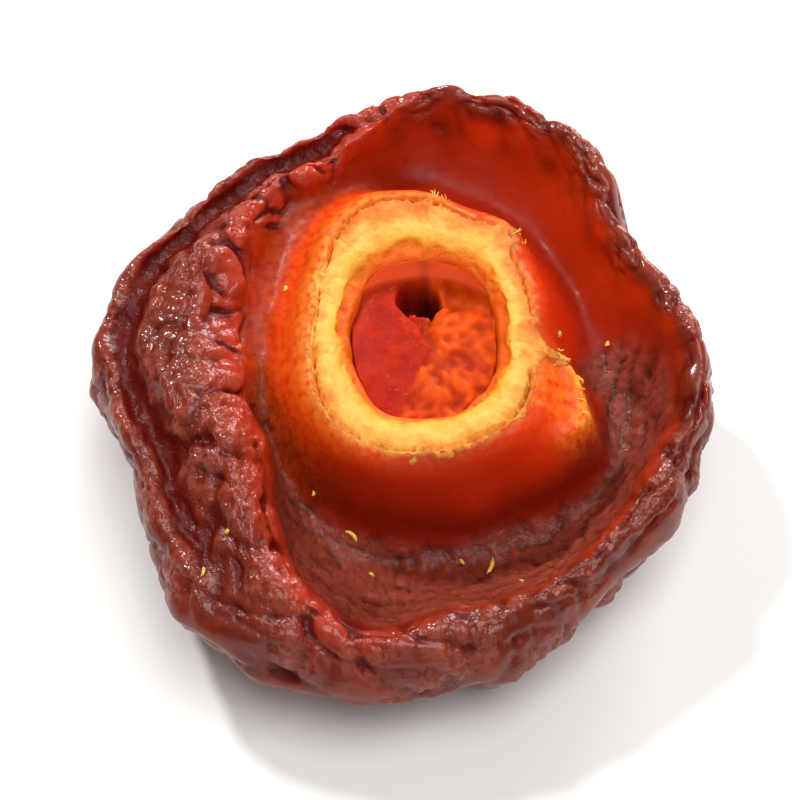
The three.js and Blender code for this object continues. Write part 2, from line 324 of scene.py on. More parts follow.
def thickness_of(mesh, limit):
    """How much flesh is behind each vertex, in millimetres, up to a limit."""
    tree = ray_tree(mesh)
    depths = []
    for place, way in zip(vertices_mm(mesh), -normals_of(mesh)):
        hit = tree.ray_cast(Vector(place + BELOW_SURFACE * way), Vector(way), limit)
        depths.append(limit if hit[3] is None else hit[3] + BELOW_SURFACE)
    return np.array(depths)


thickness = thickness_of(flesh.data, 6.0)
print("thinnest flesh", thickness.min().round(2), "mm, median", np.median(thickness).round(2), "mm")

# %% [markdown]
# The folds of the skin run round the fruit, so their noise is read in coordinates that follow the
# rim: the place on a circle, and the way down over the rim. Between them the skin has drawn into
# smooth facets with sharp creases, and only patches of it are finely crinkled. The valley has
# flatter wrinkles round the mound. A Displace modifier could push the surface with one texture,
# but here each part of the fruit needs its own mix of wrinkles.

# %% Wrinkles of every size
RIM_RADIUS, VALLEY_RADIUS = 18, 12  # of the circles that folds and the valley's wrinkles follow


def on_circle(radius, directions, third):
    """Places on a circle, with a third coordinate: noise read there runs round the fruit."""
    turns = np.radians(directions)
    return np.column_stack([radius * np.cos(turns), radius * np.sin(turns), third])


rim_circle = on_circle(RIM_RADIUS, turn, reach - height)
valley_circle = on_circle(VALLEY_RADIUS, stone_turn, stone_reach)
bend = np.column_stack([wave(bare, 4, seed) for seed in (5, 6, 7)])

folds = lumps(rim_circle + 0.8 * bend, (8, 8, 2.2), 1, 0.12)
facets = lumps(bare + bend, 4.4, 2, 0.1)
pads = lumps(bare + 0.8 * bend, 2.4, 28, 0.12)
crinkle = lumps(bare + 0.3 * bend, 1.0, 4, 0.25)
fine_crinkle = lumps(bare, 0.6, 20, 0.3)
rings = lumps(valley_circle + 0.6 * bend, (5, 5, 1.0), 8, 0.2)
swell = wave(bare, 4, 10)
grit = wave(bare, 0.55, 9)
print("points bent by up to", np.abs(bend).max().round(2), "mm, folds", folds.mean().round(2), "full")

# %% [markdown]
# Each part then gets its height from these: the skin most, the walls almost nothing. A groove
# parts the broad fold on the left from the thin rim outside it. The creases stay shallow where the
# wall is thin and where the fruit rests, and next to the stone the flesh isn't wrinkled at all.

# %% Heights of the parts
GROOVE_STARTS, GROOVE_ENDS = (104, 118), (222, 240)  # directions it fades in and out between
DEEPEST_CREASE = 0.35  # as a share of the thickness

groove_side = upper * ramp(*GROOVE_STARTS, turn) * (1 - ramp(*GROOVE_ENDS, turn))
past_groove = reach - along(RIM_GROOVE, turn) + 0.3 * wave(bare, 1.7, 30)
groove = groove_side * bell(past_groove, 0.8)
thin_rim = groove_side * ramp(0.2, 0.9, past_groove) * ramp(8.5, 9.5, height)

padded = ramp(-0.5, 0.4, wave(bare, 4.5, 16))
on_fold = ramp(9.0, 10.5, height) * ramp(0.3, -0.3, towards(0, turn))
front_crest = ramp(8.2, 9.6, height) * ramp(0.2, 0.7, towards(270, turn))
in_patches = ramp(-0.25, 0.45, wave(bare, 3.2, 29))
crinkled = np.clip(in_patches + 0.5 * on_fold + 0.8 * front_crest, 0, 1)

skin_height = 0.34 * (folds - 0.8) + 0.32 * (facets - 0.8) + 0.26 * padded * (pads - 0.8)
skin_height += 0.18 * swell
skin_height += crinkled * (0.2 * (crinkle - 0.6) + 0.12 * (fine_crinkle - 0.6) + 0.03 * grit)
skin_height *= 1 - 0.4 * np.maximum(groove, thin_rim)
skin_height += 0.15 * thin_rim - 0.5 * groove
valley_height = 0.28 * (rings - 0.6) + 0.18 * (crinkle - 0.6) + 0.1 * (fine_crinkle - 0.6)
valley_height += 0.05 * grit
wall_height = 0.12 * swell + 0.02 * grit
mound_height = 0.1 * swell + 0.05 * (crinkle - 0.6)

bowl_height = valley * valley_height + (1 - valley) * wall_height
inner_height = mound * mound_height + (1 - mound) * bowl_height
lift = skin * skin_height + (1 - skin) * inner_height
flat_spot = 1 - ramp(0.1, 1.2, height)
lift *= (1 - seat) * (1 - 0.8 * flat_spot)
lift = np.maximum(lift, -DEEPEST_CREASE * thickness)
sculpted = bare + facing * lift[:, None]
print("deepest crease", lift.min().round(2), "mm, highest lump", lift.max().round(2), "mm")

# %% [markdown]
# The mound closes on the stone: the flesh next to it is drawn in until it touches, and rises up
# its side until it drowns the edge of the cut. On one side the saw tore a flap of the mound loose,
# the beak, which stands up with a thin edge. A boolean would join flesh and stone along a hard
# line. Moving the flesh's own vertices keeps the soft seam of the fruit.

# %% Flesh drawn onto the stone, and the beak
BEAK, BEAK_HALF_WIDTH = 337, 15  # direction of the mound's flap, and half its width, in degrees
DRAWN_IN = 0.42  # how far the flesh moves towards the stone, which closes the seam
RISE = 0.72  # how far it climbs up the stone's side

near_cut = upper * ramp(SAWN - 2.4, SAWN - 1.6, height)
touch = near_cut * (1 - ramp(0.3, 1.3, past_edge))
outward = away_from_stone(bare)
sculpted[:, :2] -= outward * (DRAWN_IN * touch)[:, None]
drowned = near_cut * ramp(-0.1, 0.3, past_edge) * (1 - ramp(0.4, 2.0, past_edge))
sculpted[:, 2] += drowned * (RISE + 0.06 * wave(bare, 0.5, 26))

from_beak = np.abs((stone_turn - BEAK + 180) % 360 - 180)
beak = upper * bell(from_beak, BEAK_HALF_WIDTH) * (1 - ramp(-0.1, 0.6, past_lip))
flap = upper * bell(from_beak, BEAK_HALF_WIDTH, 4) * bell(past_lip + 0.2, 0.55)
sculpted[:, 2] += flap * (0.7 + 0.2 * wave(bare, 0.8, 27))
sculpted[:, :2] += outward * (0.35 * flap)[:, None]
move_to(flesh.data, sculpted)
print("the beak stands up to", sculpted[flap > 0.5, 2].max().round(2), "mm above the table")

# %% [markdown]
# Thin flesh glows because light comes through it, and a brighter orange is painted there as painted
# glow. Creases get a dark colour as painted shade, and crests a paler one that is partly painted
# sheen, so each vertex is compared with the mean of the vertices around it, which stands up past it
# in a crease.
# The Pointiness output of the Geometry node does this too, but an attribute is also there for
# other programs, and its reach is set in rings of neighbours.

# %% Creases and crests
def hollowness_of(mesh, depth_mm=0.06, rings=8):
    """0 on a crest, a half where the surface is flat and 1 in a crease of a depth."""
    points, outward = vertices_mm(mesh), normals_of(mesh)
    ends = np.empty(len(mesh.edges) * 2, dtype=np.int32)
    mesh.edges.foreach_get("vertices", ends)
    first, second = ends.reshape(-1, 2).T
    counts = np.bincount(ends, minlength=len(points))

    def neighbours(values):
        """The mean of the vertices that share an edge with each vertex."""
        total = np.zeros_like(values)
        np.add.at(total, first, values[second])
        np.add.at(total, second, values[first])
        return total / counts

    middle = points
    for _ in range(rings):
        middle = np.column_stack([neighbours(values) for values in middle.T])
    stands_up = ((middle - points) * outward).sum(axis=1)
    for _ in range(3):
        stands_up = neighbours(stands_up)
    return np.clip(0.5 + 0.5 * stands_up / depth_mm, 0, 1)


hollow = hollowness_of(flesh.data)
print("hollowness at each tenth of the vertices:", np.percentile(hollow, range(10, 100, 10)).round(2))

# %% Weights that the material reads
TRANSLUCENT = 2.6  # thickness at which little light comes through any more
HALO_SIDE = 165  # direction in which the flesh beside the stone glows widest

halo_width = 0.3 + 1.7 * ramp(0, 1, towards(HALO_SIDE, stone_turn))
beside_stone = past_edge.clip(0)
fold_side = ramp(0.2, -0.4, towards(0, turn))
weights = {
    "skin": skin,
    "mound": mound,
    "valley": valley,
    # Thin flesh gets a brighter orange in the material: a painted glow of light coming through.
    "thin": bell(thickness, TRANSLUCENT),
    "halo": upper * np.maximum(np.exp(-beside_stone / halo_width), 0.8 * beak),
    "fibrous": np.maximum(0.8 * flap, upper * bell(beside_stone, 0.5 + 0.15 * halo_width)),
    # A dark red is painted where the mound meets the valley, mostly in front: painted shade.
    "foot": upper * bell(past_foot, 0.7) * ramp(-2, 6, forward) * (1 - 0.7 * flap),
    "crinkled": np.maximum(crinkled * skin, valley),
    "groove": groove * skin,
    "relief": np.clip(0.5 + lift / 0.9, 0, 1),
    "hollow": hollow,
    # A brighter red is painted at the broad fold's inner edge: painted glow.
    "glow_at_fold_edge": skin * upper * fold_side * bell(past_rim.clip(0), 2),
}
for name, values in weights.items():
    keep(flesh.data, name, values)
print("means of the weights:", {name: round(float(values.mean()), 2) for name, values in weights.items()})

# %% [markdown]
# ## The half stone
#
# A plum stone is dense fibrous wood. The saw left its cut pale and torn: the outer edge is frayed
# and its fibres lie on the flesh that hangs in them, and the edge of the hole is chipped. Hundreds
# of modelled fibres could be laid round it. Spreading the ring's own edge with fine noise is
# simpler, and leaves no seam between the wood and its fray.

# %% Frayed and chipped ring
FRAYED = ((86, 0.5), (53, 0.8), (351, 1.0))  # directions in which tufts hang out, and how much
TONGUE = 350  # direction of the tongue of wood that reaches out beside the beak

stone = dense_copy("stone_half", "plum_stone_sawn", 3)
bare = vertices_mm(stone.data)
ring_turn, ring_reach = around(bare, stone_axis)
hole, edge = along(STONE_HOLE, ring_turn), along(STONE_EDGE, ring_turn)
across = (ring_reach - hole) / (edge - hole)
on_cut = ramp(SAWN - 1.1, SAWN - 0.35, bare[:, 2])

tufts = sum(size * bell(ring_turn - direction, 5) for direction, size in FRAYED)
tongue = 1.3 * bell(ring_turn - TONGUE, 8, 4)
fray = 0.5 * np.maximum(wave(bare, 1.7, 11), 0) + 0.35 * np.maximum(wave(bare, 0.75, 12), 0)
fray += (0.2 + tufts) * np.abs(wave(bare, 0.33, 19)) + 0.8 * tufts
large_chips = np.maximum(wave(bare, 1.7, 13) + 0.4 * wave(bare, 0.7, 17), 0)
small_chips = 0.5 * np.abs(wave(bare, 1.3, 33)) + 0.3 * np.abs(wave(bare, 0.55, 34))
chips = large_chips * (1 - ramp(0.05, 0.4, across)) + small_chips * (1 - ramp(0, 0.3, across))
torn = lumps(bare, (0.9, 0.9, 0.7), 14, 0.3)

sculpted = bare.copy()
spread = ramp(0.6, 1, across) * (0.3 + 0.75 * fray + tongue) + 0.7 * chips
sculpted[:, :2] += away_from_stone(bare) * (on_cut * spread)[:, None]
sculpted[:, 2] += on_cut * (0.15 * wave(bare, 1.6, 15) + 0.08 * (torn - 0.6) - 0.4 * chips)
sculpted[:, 2] -= on_cut * 0.08 * ramp(0.8, 1.1, across)
print("the fray spreads by up to", (on_cut * spread).max().round(2), "mm")

# %% Fray laid on the flesh
HIGH = 40  # rays start this far above the table, clear of the fruit
flesh_tree = ray_tree(flesh.data)


def on_flesh(x, y):
    """The place on the flesh straight below a spot, in millimetres, or None."""
    return flesh_tree.ray_cast(Vector((x, y, HIGH)), Vector((0, 0, -1)))[0]


overhang = np.hypot(*(sculpted[:, :2] - stone_axis).T) - edge
drape = 0.1 - 0.26 * ramp(0.2, 1.1, overhang) + 0.2 * tufts
drape += 0.07 * wave(bare, 0.5, 31) + 0.06 * wave(bare, 0.25, 32)
outermost = ramp(0.96, 1.03, across) * ramp(0.4, 0.7, on_cut)
laid = 0
for index in np.flatnonzero((on_cut > 0) & (across > 0.8)):
    landed = on_flesh(*sculpted[index, :2])
    if landed is not None and landed.z > SAWN - 2.5:
        lying, share = landed.z + drape[index], outermost[index]
        sculpted[index, 2] = (1 - share) * min(sculpted[index, 2], lying) + share * lying
        laid += 1
move_to(stone.data, sculpted)
print(laid, "vertices of the fray lie on the flesh")

# %% What the stone's material reads
SOAKED_SIDE = 60  # direction in which syrup soaked deepest into the cut

soaked = 0.26 * ramp(-0.2, 0.8, towards(SOAKED_SIDE, ring_turn))
keep(stone.data, "across", np.clip(across + soaked * (across - 0.2), -1, 2))
keep(stone.data, "on_cut", on_cut)
print("on the cut are", (on_cut > 0.5).mean().round(2), "of the stone's vertices")

# %% [markdown]
# ## The kernel
#
# The seed has shrunk into two lobes. The left one is smooth and dark, the right one crumbles, and
# behind the cleft between them a pit goes down to the floor of the chamber; its darkness is painted
# shade. Separate lobes would need a seam. It is one piece here, whose top follows a height for each
# place on it.

# %% Lobes, cleft and pit
CLEFT_BEHIND, CLEFT_RIGHT = (-5, -3.5, -0.5, 1.5), (-1.2, -0.8, 0.7, 0.2)  # points of its line
LOBES_BELOW_CUT, COAT_BELOW_CUT, PIT_DEPTH = 1.9, 1.0, 3.0

kernel = dense_copy("kernel", "plum_kernel_shrunk", 3)
bare = vertices_mm(kernel.data)
on_seed = ramp(0.1, 0.6, normals_of(kernel.data)[:, 2]) * ramp(6.5, 7.5, bare[:, 2])

# The seed fills the chamber, so its upper part is pushed out to the stone.
from_axis = bare[:, :2] - stone_axis
seed_reach = np.hypot(*from_axis.T)
push = (0.6 + 0.5 * ramp(0, 3, from_axis[:, 1])) * ramp(7.0, 8.5, bare[:, 2])
push *= ramp(1, 4, seed_reach)
from_axis *= 1 + (push / seed_reach.clip(0.1))[:, None]
right, behind = from_axis.T

cleft_line = np.interp(behind, CLEFT_BEHIND, CLEFT_RIGHT) + 0.3 * wave(bare, 1.5, 21)
cleft = bell(right - cleft_line, 0.4) * ramp(-2.5, 1.5, behind)
from_pit = np.hypot((right + 0.15) / 1.4, (behind - 3.0) / 1.15)
pit = 1 - ramp(0.8, 1.1, from_pit + 0.15 * wave(bare, 0.8, 25))
recess = bell(right - 2.2, 1.3) * bell(behind - 3.1, 0.8)
coat = ramp(3.9, 4.5, np.hypot(0.8 * right, behind)) * ramp(0.5, 2.5, behind)
right_lobe = ramp(-0.3, 0.3, right - cleft_line)
crumbling = 0.5 + 0.4 * wave(bare, 0.9, 22) + 0.25 * wave(bare, 0.45, 23)

dome = 0.8 - (right * right + behind * behind) / 40
top = SAWN - LOBES_BELOW_CUT + dome - 0.5 * cleft - 0.9 * recess
top += right_lobe * 0.4 * (crumbling - 0.5) + (1 - right_lobe) * 0.1 * wave(bare, 1.2, 24)
top = (top - PIT_DEPTH * pit) * (1 - coat) + (SAWN - COAT_BELOW_CUT) * coat
sculpted = np.column_stack([from_axis + stone_axis, bare[:, 2] + on_seed * (top - bare[:, 2])])
move_to(kernel.data, sculpted)
print("the pit goes down to", top[pit > 0.9].min().round(2), "mm above the table")

# %% What the kernel's material reads
keep(kernel.data, "right_lobe", right_lobe)
# The pit, the cleft and the recess are painted dark red in the material: painted shade.
keep(kernel.data, "pit", np.clip(pit + 0.3 * cleft + 0.3 * recess, 0, 1))
keep(kernel.data, "crumble", np.clip(crumbling, 0, 1))
keep(kernel.data, "coat", coat * on_seed)
print("the right lobe holds", right_lobe.mean().round(2), "of the kernel's vertices")

# %% [markdown]
# ## Colours and the node helper
#
# The colours are sRGB hex values, as a paint program shows them. Blender's shaders count light,
# so one function turns them to linear. Each material is painted in coats: a ground colour, and
# over it other colours, each where its mask says. In the node editor that is a chain of Mix nodes.

# %% Colour and node helpers
def colour(code):
    """An sRGB hex colour as linear red, green, blue and alpha."""
    parts = [int(code[i : i + 2], 16) / 255 for i in (1, 3, 5)]
    return [c / 12.92 if c <= 0.04045 else ((c + 0.055) / 1.055) ** 2.4 for c in parts] + [1.0]


def add(tree, kind, inputs=None, **settings):
    """Adds a shader node, with its settings, and its inputs set to a value or linked to a socket."""
    made = tree.nodes.new("ShaderNode" + kind)
    for name, value in settings.items():
        setattr(made, name, value)
    for name, value in (inputs or {}).items():
        if isinstance(value, bpy.types.NodeSocket):
            tree.links.new(value, made.inputs[name])
        else:
            made.inputs[name].default_value = value
    return made


def new_material(name):
    """A node material without nodes, and its tree."""
    material = bpy.data.materials.new(name)
    material.use_nodes = True
    material.node_tree.nodes.clear()
    return material, material.node_tree


def painted(tree, ground, coats):
    """The socket of a ground colour with coats over it: pairs of a mask and a colour."""
    for mask, paint in coats:
        ground = add(tree, "Mix", {0: mask, 6: ground, 7: paint}, data_type="RGBA").outputs[2]
    return ground


def put_on(material, shader, *pieces):
    """Sends a shader to a material's output, and puts the material on its pieces."""
    add(material.node_tree, "OutputMaterial", {"Surface": shader.outputs["BSDF"]})
    for piece in pieces:
        piece.data.materials.append(material)
    print(material.name, "has", len(material.node_tree.nodes), "nodes")


print("a plum red in linear light:", [round(share, 3) for share in colour("#9c1c04")])

# %% [markdown]
# ## Candied flesh
# Flesh soaked in syrup is a cloudy jelly. Red light travels some millimetres through it and the
# other colours are soon absorbed, so subsurface scattering with a long red radius carries the
# look. A see-through material would be truer to the thinnest spots, but would show the mesh's far
# side sharply, which a cloudy jelly doesn't. Where the flesh is thin a brighter orange is painted
# as painted glow, and at the mound's foot a dark red as painted shade. Beside the stone the jelly is
# pale with the stone's own fibres, and on the valley's floor it has dried brown, painted darker in
# its creases as painted shade and lighter on its wrinkles as painted light.

# %% Colours of the jelly
flesh_material, tree = new_material("candied plum flesh and skin")
place = add(tree, "TexCoord").outputs["Object"]
weight = {name: add(tree, "Attribute", attribute_name=name).outputs["Fac"] for name in weights}


def speckle(size_mm, detail, low, high):
    """A mask of irregular patches of a size in millimetres."""
    spots = add(tree, "TexNoise", {"Vector": place, "Scale": 1 / (size_mm * MM), "Detail": detail})
    return add(tree, "MapRange", {"Value": spots.outputs["Fac"], 1: low, 2: high}).outputs[0]


# The valley's floor is painted darker in its low creases as painted shade, and lighter on its raised
# wrinkles as painted light.
raised = add(tree, "MapRange", {"Value": weight["relief"], 1: 0.2, 2: 0.62})
glow_patches, straw_patches = speckle(0.5, 5, 0.3, 0.58), speckle(0.4, 4, 0.35, 0.6)
glow = add(tree, "Math", {0: weight["halo"], 1: glow_patches}, operation="MULTIPLY")
straw = add(tree, "Math", {0: weight["fibrous"], 1: straw_patches}, operation="MULTIPLY")
valley_floor_shaded_in_creases = painted(tree, colour("#561206"), [(raised.outputs[0], colour("#883a2a"))])
jelly = painted(
    tree,
    colour("#9c1c04"),
    [
        # painted glow where the flesh is thin
        (weight["thin"], colour("#ce3e06")),
        # valley floor with painted shade in its creases
        (weight["valley"], valley_floor_shaded_in_creases),
        (weight["mound"], colour("#dc3004")),
        # painted shade at the mound's foot
        (weight["foot"], colour("#861604")),
        (glow.outputs[0], colour("#fb7412")),
        (straw.outputs[0], colour("#fba640")),
    ],
)
print("the jelly has", len(tree.nodes), "nodes so far")

# %% [markdown]
# The skin holds less light than the jelly. It is brown, painted darker in its creases as painted
# shade, painted a brighter red at the inner edge of the broad fold as painted glow, and on the ridges
# of its crinkled patches a pale colour stands partly for a dry, dusty bloom and partly for painted
# sheen.

# %% Colours of the rind
# Creases are painted dark red: painted shade.
shaded_creases = add(tree, "MapRange", {"Value": weight["hollow"], 1: 0.5, 2: 0.85})
# Crests of the crinkled patches get a pale colour: partly a dusty bloom, partly painted sheen.
ridge = add(tree, "MapRange", {"Value": weight["hollow"], 1: 0.45, 2: 0.05, 3: 0.0, 4: 0.55})
dust_and_sheen = add(tree, "Math", {0: ridge.outputs[0], 1: speckle(0.5, 5, 0.42, 0.62)}, operation="MULTIPLY")
bloom_and_sheen = add(tree, "Math", {0: dust_and_sheen.outputs[0], 1: weight["crinkled"]}, operation="MULTIPLY")
rind = painted(
    tree,
    colour("#6a1e0a"),
    [
        (speckle(2.8, 2, 0.45, 0.65), colour("#822a10")),
        # painted glow at the inner edge of the broad fold
        (weight["glow_at_fold_edge"], colour("#b4341a")),
        (weight["groove"], colour("#721e08")),
        # painted shade in the creases
        (shaded_creases.outputs[0], colour("#5c0a02")),
        # dusty bloom and painted sheen on the crests
        (bloom_and_sheen.outputs[0], colour("#a8523e")),
    ],
)
flesh_colour = painted(tree, jelly, [(weight["skin"], rind)])
print("the flesh's colour takes", len(tree.nodes), "nodes")

# %% [markdown]
# A film of syrup shines on the skin and on the valley's floor, and the creases have drunk it up.
# The film is the shader's coat. It has beads finer than the crinkles under it, so each of the two
# gets a bump of its own.

# %% Film of syrup, depth and grain
coated = add(tree, "Math", {0: weight["skin"], 1: weight["valley"]}, operation="MAXIMUM")
film_at_most = add(tree, "MapRange", {"Value": coated.outputs[0], 3: 0.04, 4: 0.5})
sheltered = add(tree, "Math", {0: weight["hollow"], 1: weight["groove"]}, operation="MAXIMUM")
left_of_it = add(tree, "MapRange", {"Value": sheltered.outputs[0], 1: 0.5, 2: 0.75, 3: 1.0, 4: 0.15})
film = add(tree, "Math", {0: film_at_most.outputs[0], 1: left_of_it.outputs[0]}, operation="MULTIPLY")

opaque = add(tree, "Math", {0: weight["skin"], 1: weight["halo"]}, operation="MAXIMUM")
light_inside = add(tree, "MapRange", {"Value": opaque.outputs[0], 3: 1.0, 4: 0.35})
satin = add(tree, "MapRange", {"Value": speckle(0.7, 4, 0.3, 0.7), 3: 0.32, 4: 0.55})

CRINKLE_GRAIN, BEAD_GRAIN = 0.6 * MM, 0.28 * MM
strength = add(tree, "MapRange", {"Value": weight["crinkled"], 3: 0.15, 4: 0.75}).outputs[0]
fine = {"Vector": place, "Scale": 1 / CRINKLE_GRAIN, "Detail": 2.0, "Roughness": 0.6}
grain = add(tree, "TexNoise", fine).outputs["Fac"]
bump = add(tree, "Bump", {"Height": grain, "Strength": strength, "Distance": 0.2 * MM})
beads = add(tree, "TexNoise", {"Vector": place, "Scale": 1 / BEAD_GRAIN, "Detail": 0.0})
on_grain = {"Height": beads.outputs["Fac"], "Normal": bump.outputs["Normal"]}
film_bump = add(tree, "Bump", {**on_grain, "Strength": strength, "Distance": 0.1 * MM})

shader = add(
    tree,
    "BsdfPrincipled",
    {
        "Base Color": flesh_colour,
        "Roughness": satin.outputs[0],
        "IOR": 1.45,  # syrup of about 70% sugar
        "Subsurface Weight": light_inside.outputs[0],
        "Subsurface Radius": (1.0, 0.22, 0.06),
        "Subsurface Scale": 4 * MM,
        "Specular IOR Level": 0.2,
        "Coat Weight": film.outputs[0],
        "Coat Roughness": 0.16,
        "Normal": bump.outputs["Normal"],
        "Coat Normal": film_bump.outputs["Normal"],
    },
)
put_on(flesh_material, shader, flesh)

# %% [markdown]
# ## Sawn stone
#
# The cut is pale where the saw scraped the wood dry and orange where syrup soaked in: round the
# hole, and in the torn fibres at the outer edge. A colour ramp reads how far across the ring a
# place is, shifted by noise so that the bands wander as syrup does in wood.

# %% Sawn stone material
MOTTLE, WOOD_GRAIN = 0.9 * MM, 0.4 * MM
ACROSS_THE_RING = (  # share of the way from the hole to the outer edge
    (0.0, "#f46202"), (0.14, "#f88a10"), (0.32, "#f8ae38"), (0.6, "#f9bf58"), (0.82, "#f49a34"),
    (1.0, "#e8701c"),
)

stone_material, tree = new_material("syrup-soaked plum stone, sawn")
place = add(tree, "TexCoord").outputs["Object"]
across_ring = add(tree, "Attribute", attribute_name="across").outputs["Fac"]
cut = add(tree, "Attribute", attribute_name="on_cut").outputs["Fac"]
mottle = add(tree, "TexNoise", {"Vector": place, "Scale": 1 / MOTTLE, "Detail": 5.0}).outputs["Fac"]
shift = add(tree, "Math", {0: mottle, 1: 0.5}, operation="SUBTRACT").outputs[0]
wandering = add(tree, "Math", {0: shift, 1: 0.7, 2: across_ring}, operation="MULTIPLY_ADD").outputs[0]
bands = add(tree, "ValToRGB", {"Fac": wandering})
stops = bands.color_ramp.elements
stops[0].position, stops[-1].position = ACROSS_THE_RING[0][0], ACROSS_THE_RING[-1][0]
for share, _ in ACROSS_THE_RING[1:-1]:
    stops.new(share)
for stop, (_, code) in zip(stops, ACROSS_THE_RING):
    stop.color = colour(code)
wood = painted(tree, colour("#ee6604"), [(cut, bands.outputs["Color"])])
wood_grain = {"Vector": place, "Scale": 1 / WOOD_GRAIN, "Detail": 6.0, "Roughness": 0.65}
grain = add(tree, "TexNoise", wood_grain).outputs["Fac"]
bump = add(tree, "Bump", {"Height": grain, "Strength": 0.8, "Distance": 0.25 * MM})
shader = add(
    tree,
    "BsdfPrincipled",
    {
        "Base Color": wood,
        "Roughness": 0.45,
        "Specular IOR Level": 0.25,
        "Subsurface Weight": 0.6,
        "Subsurface Radius": (1.0, 0.55, 0.2),
        "Subsurface Scale": 0.9 * MM,
        "Coat Weight": 0.12,
        "Coat Roughness": 0.2,
        "Normal": bump.outputs["Normal"],
        "Coat Normal": bump.outputs["Normal"],
    },
)
put_on(stone_material, shader, stone)

# %% [markdown]
# ## Candied kernel
#
# The seed is softer than the stone and drank more syrup, so light goes deeper into it. The left
# lobe kept its dark red skin. The right one lost it, and is orange where its crumbs stand up and
# darker between them: partly its own colour, partly painted highlight on the crumbs and painted
# shade between them. Fine pale dots lie on both. The pit, the cleft and the recess beside it are
# painted a deep dark red as painted shade. One material holds both lobes, blended by the attributes,
# so no seam parts them.

# %% Candied kernel material
SEED_MOTTLE, DOTS = 1.3 * MM, 0.3 * MM

kernel_material, tree = new_material("candied plum kernel")
place = add(tree, "TexCoord").outputs["Object"]
on_kernel = {
    name: add(tree, "Attribute", attribute_name=name).outputs["Fac"]
    for name in ("right_lobe", "pit", "crumble", "coat")
}
mottle = add(tree, "TexNoise", {"Vector": place, "Scale": 1 / SEED_MOTTLE, "Detail": 3.0}).outputs["Fac"]
patches = add(tree, "MapRange", {"Value": mottle, 1: 0.35, 2: 0.65}).outputs[0]
dots = add(tree, "TexNoise", {"Vector": place, "Scale": 1 / DOTS, "Detail": 3.0}).outputs["Fac"]
pale_dots = add(tree, "MapRange", {"Value": dots, 1: 0.62, 2: 0.76, 3: 0.0, 4: 0.2}).outputs[0]
smooth_lobe = painted(tree, colour("#a41402"), [(patches, colour("#bc2804"))])
# The orange follows the crumbs' height: partly their own colour, partly painted highlight on top and
# painted shade between them.
crumbly_lobe_partly_lit = painted(tree, colour("#b02c04"), [(on_kernel["crumble"], colour("#e45808"))])
lobes = painted(
    tree,
    smooth_lobe,
    [
        (on_kernel["right_lobe"], crumbly_lobe_partly_lit),
        (on_kernel["coat"], colour("#c03e0c")),
        (pale_dots, colour("#f08a72")),
        # painted shade in the pit, the cleft and the recess
        (on_kernel["pit"], colour("#5c0a04")),
    ],
)
bump = add(tree, "Bump", {"Height": mottle, "Strength": 0.5, "Distance": 0.3 * MM})
shader = add(
    tree,
    "BsdfPrincipled",
    {
        "Base Color": lobes,
        "Roughness": 0.5,
        "Specular IOR Level": 0.1,
        "Subsurface Weight": 0.8,
        "Subsurface Radius": (1.0, 0.2, 0.06),
        "Subsurface Scale": 1.5 * MM,
        "Normal": bump.outputs["Normal"],
    },
)
put_on(kernel_material, shader, kernel)

# %% [markdown]
# ## Torn fibres and crumbs
#
# The saw pulled tufts of fibres out of the stone's edge. Each fibre is a short bent hair, thick at
# its root. A hair system would scatter them evenly, but they hang in a few tufts, so each is a
# spline of one curve, with a bevel for its thickness and a radius at each point for its taper.

# %% Fibres at the stone's edge
FIBRE_POINTS, FIBRE_RADIUS = 5, 0.05 * MM
TUFTS = [  # direction, distance from the stone's axis, spread in degrees, count
    (86, 10.2, 3.0, 10), (53, 9.4, 3.0, 12), (352, 8.5, 3.5, 20), (338, 10.6, 4.0, 8),
]

rng = np.random.default_rng(7)
hairs = bpy.data.curves.new("hairs", "CURVE")
hairs.dimensions = "3D"
hairs.bevel_depth = FIBRE_RADIUS
hairs.bevel_resolution = 1
hairs.use_fill_caps = True


def hair(root, way, length):
    """A bent, tapered fibre from a root, in millimetres, towards a direction."""
    spline = hairs.splines.new("POLY")
    spline.points.add(FIBRE_POINTS - 1)
    sag = rng.normal(0, 0.35, 3)
    for step, point in zip(np.linspace(0, 1, FIBRE_POINTS), spline.points):
        spot = root + length * (step * way + step * step * sag)
        point.co = (*(spot * MM), 1)
        point.radius = 1.3 - 0.9 * step


def beside_ring(degrees, distance):
    """A place on the flesh, seen from the stone's axis, and the level way to it."""
    way = np.array([math.cos(math.radians(degrees)), math.sin(math.radians(degrees)), 0.0])
    return np.array(on_flesh(*(stone_axis + distance * way[:2]))), way


for middle_way, distance, spread, count in TUFTS:
    for _ in range(count):
        root, way = beside_ring(rng.normal(middle_way, spread), distance + rng.uniform(-0.5, 0.2))
        hair(root, 0.8 * way + rng.normal(0, 0.4, 3) + (0, 0, 0.1), rng.uniform(0.15, 0.4))
hairs_mesh = bpy.data.meshes.new_from_object(bpy.data.objects.new("hairs", hairs))
fibres = in_scene("torn_fibres", hairs_mesh)
print(len(hairs.splines), "fibres with", len(hairs_mesh.polygons), "faces")

# %% [markdown]
# Crumbs of the same wood fell on the flesh. A crumb starts as a small round ball. Noise makes it
# uneven, and then it is stretched, bent like a shaving, turned and sunk a little into the flesh.

# %% Crumbs on the flesh
CRUMBS = [  # to the right of and behind the stone's axis, length, thickness: all in millimetres
    (4.2, -12.2, 1.1, 0.26), (2.4, -11.8, 0.5, 0.22), (-11.4, -12.9, 0.45, 0.3),
    (-12.8, -15.2, 0.6, 0.2), (-4.2, -10.4, 1.0, 0.25), (-8.3, 3.9, 0.4, 0.28),
    (11.5, 2.0, 0.4, 0.25), (9.6, -1.2, 0.7, 0.3), (8.4, 1.2, 0.45, 0.25),
    (-3.0, -12.8, 0.35, 0.2), (6.0, -14.0, 0.35, 0.2), (-6.5, -8.2, 0.4, 0.22),
]

